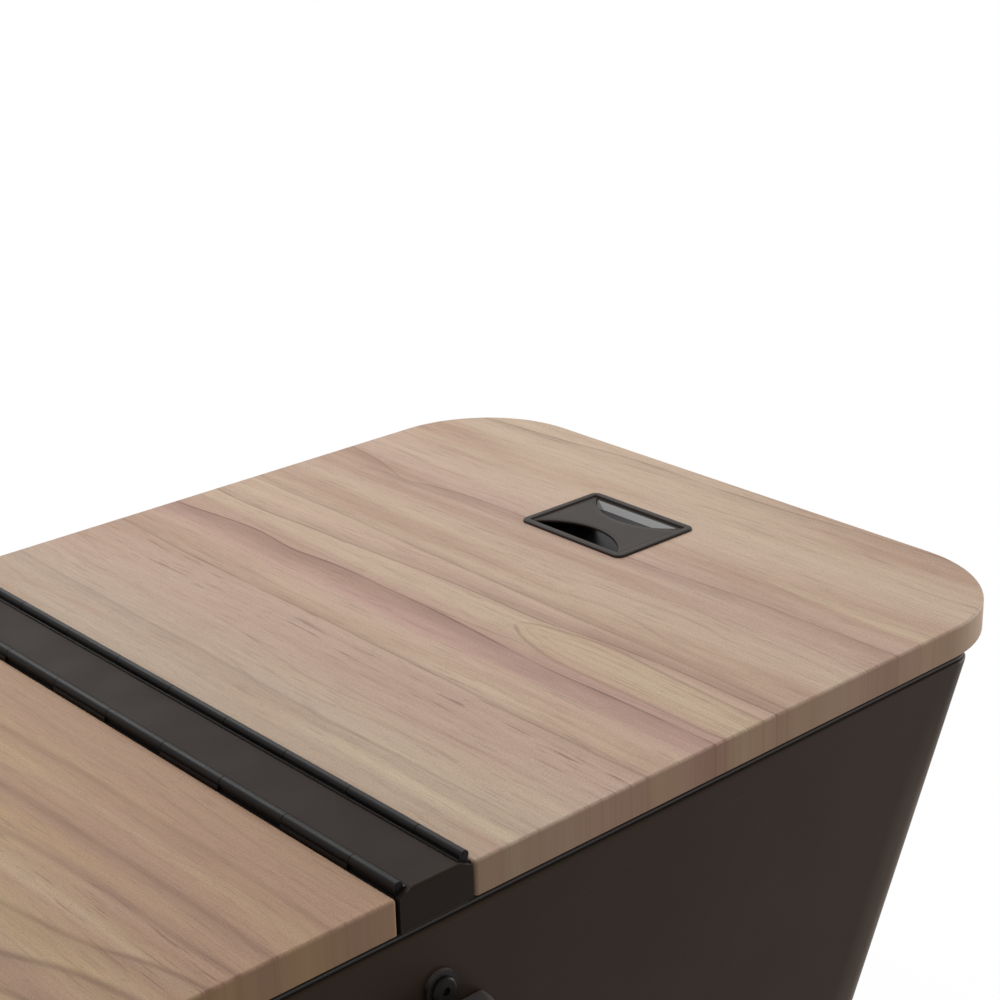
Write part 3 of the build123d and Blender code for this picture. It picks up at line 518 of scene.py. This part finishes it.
def sheened_coat(name, shown, bend, roughness, specular):
    """The tub's coat, painted paler round the upright corner bends as a sheen of light, fading out towards
    the top edge.
    """
    g = Graph(name, roughness, Specular_IOR_Level=specular)
    plain = clouded(g, linear(*shown), PAINT_CLOUD, PAINT_SHARE)
    x, y, z = g.split(g.place)
    top = tub_high[2]
    end = g.math("SUBTRACT", tub_high[0] + HEM_PULL, g.times(g.math("SUBTRACT", top, z), END_SLOPE))
    to_end = g.math("SUBTRACT", end, g.math("ABSOLUTE", x))
    to_front = g.math("SUBTRACT", tub_high[1], g.math("ABSOLUTE", y))
    near_end = g.span(to_end, SHEEN_INNER, SHEEN_OUTER, 1.0, 0.0)
    near_front = g.span(to_front, SHEEN_INNER, SHEEN_OUTER, 1.0, 0.0)
    lower = g.span(z, top - SHEEN_BELOW, top + SHEEN_ABOVE, 1.0, 0.0)
    # Painted sheen: the bend colour near the upright corners
    g.colour(g.blend(g.times(near_end, near_front, lower), plain, linear(*bend)))
    painted_gloss(g, roughness)
    g.bump(g.noise(g.place, TUB_PEEL, PEEL_DETAIL), TUB_TEXTURE, PAINT_DEPTH)
    return g.material


# Plastic and rubber
SCUFF_STRETCH = (30.0, 90.0, 30.0)
SCUFF_DETAIL, SCUFF_ROUGH = 5.0, 0.7
SCUFF_LOW, SCUFF_MIDDLE, SCUFF_HIGH = 0.35, 0.75, 0.8
SCUFF_PALER, SCUFF_ADDED = 1.22, 0.006
SCUFF_GLOSS = 0.12
MOULD_DEPTH = 0.3 * MM


def scuffs(g):
    return g.noise(g.stretched(SCUFF_STRETCH), 1.0, SCUFF_DETAIL, SCUFF_ROUGH)


def scuffed(g, scuff, colour, factor, added=0.0):
    """The colour, paler along the scuffs."""
    return g.ramp(scuff, [(SCUFF_LOW, colour), (SCUFF_HIGH, scaled(colour, factor, added))])


def moulded(name, shown, roughness, specular, grain, texture):
    """Moulded plastic or rubber: fine texture from the mould, with faint scuffs."""
    g = Graph(name, roughness, Specular_IOR_Level=specular)
    scuff = scuffs(g)
    g.colour(scuffed(g, scuff, linear(*shown), SCUFF_PALER, SCUFF_ADDED))
    g.rough(g.span(scuff, SCUFF_LOW, SCUFF_MIDDLE, roughness, roughness + SCUFF_GLOSS))
    g.bump(g.noise(g.place, grain), texture, MOULD_DEPTH)
    return g.material


# Colour as shown, roughness, specular level, fineness and strength of the mould's texture
LINER_WHITE, LINER_ROUGH, LINER_SPECULAR = (208, 208, 204), 0.42, 0.4
LINER_GRAIN, LINER_TEXTURE, LINER_PALER = 1500.0, 0.05, 1.1
PLASTICS = {
    "liner_plastic": (LINER_WHITE, LINER_ROUGH, LINER_SPECULAR, LINER_GRAIN, LINER_TEXTURE),
    "cap_plastic": ((42, 42, 43), 0.50, 0.4, 1800.0, 0.10),
    "hub_plastic": ((60, 61, 63), 0.46, 0.4, 1600.0, 0.10),
    "seal": ((38, 38, 39), 0.70, 0.3, 2400.0, 0.15),
    "tyre": ((44, 44, 46), 0.66, 0.3, 2000.0, 0.20),
}

# The liner, sealed round the edge of its flange
liner_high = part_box("liner")[1]
SEALED_X = liner_high[0] - 16.18 * MM
SEALED_Y = liner_high[1] - 12.5 * MM
SEALED_Z = liner_high[2] - 2 * MM
SEALED_FADE = 1 * MM


def lined(name, sealant):
    """The liner's plastic, with the dark sealant that covers the edge of its flange."""
    g = Graph(name, LINER_ROUGH, Specular_IOR_Level=LINER_SPECULAR)
    scuff = scuffs(g)
    plain = scuffed(g, scuff, linear(*LINER_WHITE), LINER_PALER)
    x, y, z = g.split(g.place)
    past_y = g.math("SUBTRACT", g.math("ABSOLUTE", y), SEALED_Y)
    past_x = g.math("SUBTRACT", g.math("ABSOLUTE", x), SEALED_X)
    outside = g.span(g.math("MAXIMUM", past_y, past_x), 0.0, SEALED_FADE)
    sealed = g.times(outside, g.math("GREATER_THAN", z, SEALED_Z))
    g.colour(g.blend(sealed, plain, linear(*sealant)))
    g.rough(g.span(scuff, SCUFF_LOW, SCUFF_MIDDLE, LINER_ROUGH, LINER_ROUGH + SCUFF_GLOSS))
    g.bump(g.noise(g.place, LINER_GRAIN), LINER_TEXTURE, MOULD_DEPTH)
    return g.material


# Zinc plating
BRUSH_STRETCH = (60.0, 60.0, 900.0)
BRUSH_SHADES = [(NOISE_LOW, (0.8, 0.8, 0.8)), (NOISE_HIGH, WHITE)]
BRUSH_DETAIL, BRUSH_ROUGH, BRUSH_INK, BRUSH_BUMP = 3.0, 0.6, 0.5, 0.06
ZINC_CLOUD, ZINC_RANGE, ZINC_WARMTH = 45.0, (0.35, 0.7), (1.04, 0.98, 0.86)
ZINC_SMOOTHER, ZINC_ROUGHER = 0.06, 0.08
ZINC_DEPTH = 0.2 * MM


def plated(name, shown, roughness):
    """Zinc-plated steel: brushed streaks and cloudy passivation."""
    g = Graph(name, roughness, Metallic=1.0)
    colour = linear(*shown)
    brushed = g.noise(g.stretched(BRUSH_STRETCH), 1.0, BRUSH_DETAIL, BRUSH_ROUGH)
    yellowed = tuple(part * warmth for part, warmth in zip(colour, ZINC_WARMTH))
    warm = g.blend(g.span(g.noise(g.place, ZINC_CLOUD), *ZINC_RANGE), colour, yellowed)
    g.colour(g.tinted(warm, g.ramp(brushed, BRUSH_SHADES), BRUSH_INK))
    g.rough(g.span(brushed, NOISE_LOW, NOISE_HIGH, roughness - ZINC_SMOOTHER, roughness + ZINC_ROUGHER))
    g.bump(brushed, BRUSH_BUMP, ZINC_DEPTH)
    return g.material


# Foam. Its shades are listed as distance from a cell's middle and what the colour is multiplied by; the
# darker middles are painted shade in the cells' hollows.
FOAM_ROUGH, FOAM_SPECULAR = 0.95, 0.1
FOAM_CELLS = 420.0
FOAM_SHADES = [(0.0, 0.7), (0.45, 1.0), (1.0, 1.08)]
FOAM_BUMP, FOAM_DEPTH = 0.5, 0.8 * MM


def foamed(name, shown):
    """Poured rigid foam: cells with painted shade in their hollows, and a pale skin."""
    g = Graph(name, FOAM_ROUGH, Specular_IOR_Level=FOAM_SPECULAR)
    colour = linear(*shown)
    cell = g.node("ShaderNodeTexVoronoi")
    g.feed(cell.inputs["Vector"], g.place)
    cell.inputs["Scale"].default_value = FOAM_CELLS
    depth = cell.outputs["Distance"]
    g.colour(g.ramp(depth, [(away, scaled(colour, factor)) for away, factor in FOAM_SHADES]))
    g.bump(depth, FOAM_BUMP, FOAM_DEPTH)
    return g.material


finish = {name: coated(name, *values) for name, values in COATS.items()}
finish.update({name: moulded(name, *values) for name, values in PLASTICS.items()})
# The opener's paler colour is painted light on its upward faces
finish["opener_metal"] = cast("opener_metal", (36, 31, 29), (92, 86, 84), 0.40, 0.14)
finish["zinc_steel"] = plated("zinc_steel", (176, 178, 182), 0.36)
finish["foam"] = foamed("foam", (232, 214, 158))

# A lid's wood goes by its side, four nodes have a finish of their own, and the rest go by their slot
own_finish = {
    "lid_board_left": wood["left"],
    "lid_board_right": wood["right"],
    "liner": lined("liner_sealed", (34, 31, 29)),
    # The tub's paler second colour is a painted sheen round its upright corners
    "tub_wrap": sheened_coat("tub_coat_painted_sheen", (57, 44, 35), (92, 79, 67), 0.46, 0.08),
    "spine_cover": finish["spine_coat"],
    "rim_frame": finish["rim_coat"],
}
slots = {part["node"]: part["material_slot"] for part in frame["record"]["subparts"]}
for name, obj in nodes.items():
    obj.data.materials.clear()
    obj.data.materials.append(own_finish[name] if name in own_finish else finish[slots[name]])


def placed(name, data):
    """A new object in the scene."""
    obj = bpy.data.objects.new(name, data)
    scene.collection.objects.link(obj)
    return obj


def meshed(name, shape):
    """A mesh from a shape that is then done with."""
    mesh = bpy.data.meshes.new(name)
    shape.to_mesh(mesh)
    shape.free()
    return mesh


# Flush pulls: a flat rim, a waisted plate a little below it and one bowl that runs under the plate. Darker
# and paler copies of one coat paint their shade and sheen.
# Outlines are listed as distance in from the side and drop below the top, in millimetres.
RIM_OUTLINE = [
    (0.0, 1.6), (0.0, 0.7), (0.2, 0.3), (0.6, 0.1), (1.2, 0.0),
    (3.8, 0.0), (4.3, 0.1), (4.6, 0.4), (4.7, 1.2), (4.9, 1.9),
]
RIM_WIDE, RIM_DEEP = (value * MM for value in RIM_OUTLINE[-1])
RIM_CORNER = 5.2 * MM
CORNER_STEPS, CORNER_LEAST = 7, 0.4 * MM
BOWL_WIDE, BOWL_DEEP, BOWL_STEPS, BOWL_POWER = 19 * MM, 10.7 * MM, 16, 1.1
BOWL_CORNER, BOWL_CORNER_GROWTH = 2.2 * MM, 1.3
BOWL_LEAST = 0.5 * MM
DARK_FROM = 3
PLATE_INSET, PLATE_PLAY = 4.7 * MM, 0.6 * MM
PLATE_WAIST, PLATE_ARC = 9.2 * MM, 46 * MM
PLATE_SIDE = [(0.0, 2.4), (0.0, 1.7), (0.21, 1.1), (0.7, 0.9)]
PLATE_STEPS, PLATE_PARTS = 40, 6
GLOSS, PAINTED_SHEEN, SHADE = range(3)


def rounded(half_x, half_y, corner):
    """Points of a rounded rectangle round the origin, counter-clockwise."""
    corner = max(corner, CORNER_LEAST)
    points = []
    for quarter, (sign_x, sign_y) in enumerate(((1, 1), (-1, 1), (-1, -1), (1, -1))):
        for step in range(CORNER_STEPS + 1):
            angle = math.radians(90 * quarter + 90 * step / CORNER_STEPS)
            x = sign_x * (half_x - corner) + corner * math.cos(angle)
            y = sign_y * (half_y - corner) + corner * math.sin(angle)
            points.append((x, y))
    return points


def add_bowl(shape, middle, half_x, half_y):
    """The rim and the bowl as one skin of rounded rectangles."""
    levels = [(inset * MM, drop * MM) for inset, drop in RIM_OUTLINE]
    rim_levels = len(levels)
    for step in range(1, BOWL_STEPS + 1):
        share = step / BOWL_STEPS
        fall = math.sin(math.pi / 2 * share) ** BOWL_POWER
        levels.append((RIM_WIDE + BOWL_WIDE * share, RIM_DEEP + BOWL_DEEP * fall))
    loops = []
    for level, (inset, drop) in enumerate(levels):
        corner = BOWL_CORNER + BOWL_CORNER_GROWTH * (inset - RIM_WIDE)
        if level < rim_levels - 1:
            corner = RIM_CORNER - inset
        corner = min(corner, half_x - inset - BOWL_LEAST)
        points = rounded(half_x - inset, half_y - inset, corner)
        loops.append([shape.verts.new(middle + Vector((x, y, -drop))) for x, y in points])
    for level, (outer, inner) in enumerate(zip(loops, loops[1:])):
        for i in range(len(outer)):
            after = (i + 1) % len(outer)
            face = shape.faces.new((outer[i], outer[after], inner[after], inner[i]))
            # Painted shade: the bowl's left half and its deep floor take the darker copy; the rim takes the
            # paler copy as painted sheen
            dark = face.calc_center_median().x < middle.x or level >= rim_levels + DARK_FROM
            face.material_index = SHADE if dark else GLOSS
            if level < rim_levels - 1:
                face.material_index = PAINTED_SHEEN
    shape.faces.new(loops[-1]).material_index = SHADE


def add_plate(shape, middle, half_x, half_y):
    """The plate between the two scoops, with a rolled edge."""
    plate_x, plate_y = half_x - PLATE_INSET, half_y - PLATE_INSET
    roll, top = (value * MM for value in PLATE_SIDE[-1])
    sections = []
    for step in range(PLATE_STEPS + 1):
        y = plate_y * (2 * step / PLATE_STEPS - 1)
        arc = PLATE_ARC - math.sqrt(PLATE_ARC * PLATE_ARC - y * y)
        half = min(plate_x - PLATE_PLAY, PLATE_WAIST + arc)
        side = [(inset * MM - half, drop * MM) for inset, drop in PLATE_SIDE]
        flat = [((half - roll) * (2 * part / PLATE_PARTS - 1), top) for part in range(1, PLATE_PARTS)]
        profile = side + flat + [(-x, drop) for x, drop in reversed(side)]
        sections.append([shape.verts.new(middle + Vector((x, y, -drop))) for x, drop in profile])
    # The plate takes the paler copy as painted sheen
    for first, second in zip(sections, sections[1:]):
        for i in range(len(first) - 1):
            shape.faces.new((first[i], first[i + 1], second[i + 1], second[i])).material_index = PAINTED_SHEEN
        shape.faces.new((first[-1], first[0], second[0], second[-1]))
    for end in (sections[0], sections[-1]):
        shape.faces.new(end)


def flush_pull(side):
    """The pull that stands for the solid one, on its lid."""
    low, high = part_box(f"pull_{side}")
    middle = Vector(((low[0] + high[0]) / 2, (low[1] + high[1]) / 2, high[2]))
    half_x, half_y = (high[0] - low[0]) / 2, (high[1] - low[1]) / 2
    shape = bmesh.new()
    add_bowl(shape, middle, half_x, half_y)
    add_plate(shape, middle, half_x, half_y)
    bmesh.ops.recalc_face_normals(shape, faces=shape.faces[:])
    mesh = meshed(f"pull_{side}_dress", shape)
    for face in mesh.polygons:
        face.use_smooth = True
    for name in ("gloss_black", "pull_painted_sheen", "pull_shade"):
        mesh.materials.append(finish[name])
    obj = placed(f"pull_{side}_dress", mesh)
    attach(obj, f"{side}_lid")
    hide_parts(f"pull_{side}")


for side in ("left", "right"):
    flush_pull(side)

# Camera at the photograph's angle
CAMERA_AT = Vector((-0.51544, -0.87091, 1.32914))
YAW, PITCH, ROLL = math.radians(-41.3), math.radians(21.4), math.radians(-1.56)
LENS = 77.31
CLIP_END = 100.0
ahead = Vector((-math.sin(YAW) * math.cos(PITCH), math.cos(YAW) * math.cos(PITCH), -math.sin(PITCH)))
level = Vector((math.cos(YAW), math.sin(YAW), 0.0))
upward = level.cross(ahead)
right_axis = level * math.cos(ROLL) + upward * math.sin(ROLL)
up_axis = upward * math.cos(ROLL) - level * math.sin(ROLL)
camera = placed("camera", bpy.data.cameras.new("camera"))
camera.data.lens = LENS
camera.data.clip_end = CLIP_END
turn = Matrix((right_axis, up_axis, -ahead)).transposed().to_4x4()
camera.matrix_world = Matrix.Translation(CAMERA_AT) @ turn
scene.camera = camera


def seen_white(tree):
    """1 where a camera, glossy or transmission ray meets the surface, else 0."""
    rays = tree.node("ShaderNodeLightPath").outputs
    either = tree.math("MAXIMUM", rays["Is Camera Ray"], rays["Is Glossy Ray"])
    return tree.math("MAXIMUM", either, rays["Is Transmission Ray"])


# Floor: white to the eye, with a soft shadow under the cart, and a quieter bounce on the object
FLOOR_REACH, FLOOR_SIDES = 45.0, 96
FLOOR_BOUNCE, FLOOR_SEEN = 0.42, 0.95
GLOW_NEAR, GLOW_FAR = 0.6, 1.5
GLOW_LEAST = 0.62
floor_shape = bmesh.new()
bmesh.ops.create_circle(floor_shape, cap_ends=True, segments=FLOOR_SIDES, radius=FLOOR_REACH)
floor = placed("floor", meshed("floor", floor_shape))
floor_paint = bpy.data.materials.new("floor")
floor_paint.use_nodes = True
paint = Tree(floor_paint.node_tree)
paint.tree.nodes.remove(paint.tree.nodes["Principled BSDF"])
floor_seen = seen_white(paint)
matt = paint.node("ShaderNodeBsdfDiffuse")
paint.feed(matt.inputs["Color"], paint.span(floor_seen, 0.0, 1.0, FLOOR_BOUNCE, FLOOR_SEEN, "LINEAR"))
glow = paint.node("ShaderNodeEmission")
reach = paint.node("ShaderNodeVectorMath", operation="LENGTH")
paint.feed(reach.inputs[0], paint.node("ShaderNodeTexCoord").outputs["Object"])
glow_share = paint.span(reach.outputs["Value"], GLOW_NEAR, GLOW_FAR, GLOW_LEAST, 1.0)
floor_surface = paint.pick(paint.times(floor_seen, glow_share), matt.outputs[0], glow.outputs[0])
paint.feed(paint.tree.nodes["Material Output"].inputs["Surface"], floor_surface)
floor.data.materials.append(floor_paint)

# World: white behind the cart and in reflections, and a quieter light on the object
SKY_STRENGTH = 0.34
world = bpy.data.worlds.new("world")
scene.world = world
world.use_nodes = True
air = Tree(world.node_tree)
sky = air.tree.nodes["Background"]
sky.inputs["Strength"].default_value = SKY_STRENGTH
backdrop = air.node("ShaderNodeBackground")
for background in (sky, backdrop):
    background.inputs["Color"].default_value = (*WHITE, 1.0)
air_surface = air.pick(seen_white(air), sky.outputs[0], backdrop.outputs[0])
air.feed(air.tree.nodes["World Output"].inputs["Surface"], air_surface)


def softbox(name, at, toward, size, power):
    """A square area lamp aimed at a point."""
    lamp = bpy.data.lights.new(name, "AREA")
    lamp.size = size
    lamp.energy = power
    holder = placed(name, lamp)
    holder.location = at
    holder.rotation_euler = (Vector(toward) - Vector(at)).to_track_quat("-Z", "Y").to_euler()


softbox("back", at=(0.35, 1.65, 2.3), toward=(0.15, 0.0, 0.8), size=1.1, power=15.0)
softbox("key", at=(1.3, 1.0, 2.9), toward=(0.0, 0.0, 0.7), size=2.6, power=26.0)
softbox("top", at=(-0.8, 0.3, 3.1), toward=(0.0, 0.0, 0.7), size=2.4, power=9.0)
softbox("right", at=(2.6, -0.7, 0.95), toward=(0.2, 0.0, 0.6), size=1.2, power=30.0)

scene.view_settings.view_transform = "Standard"
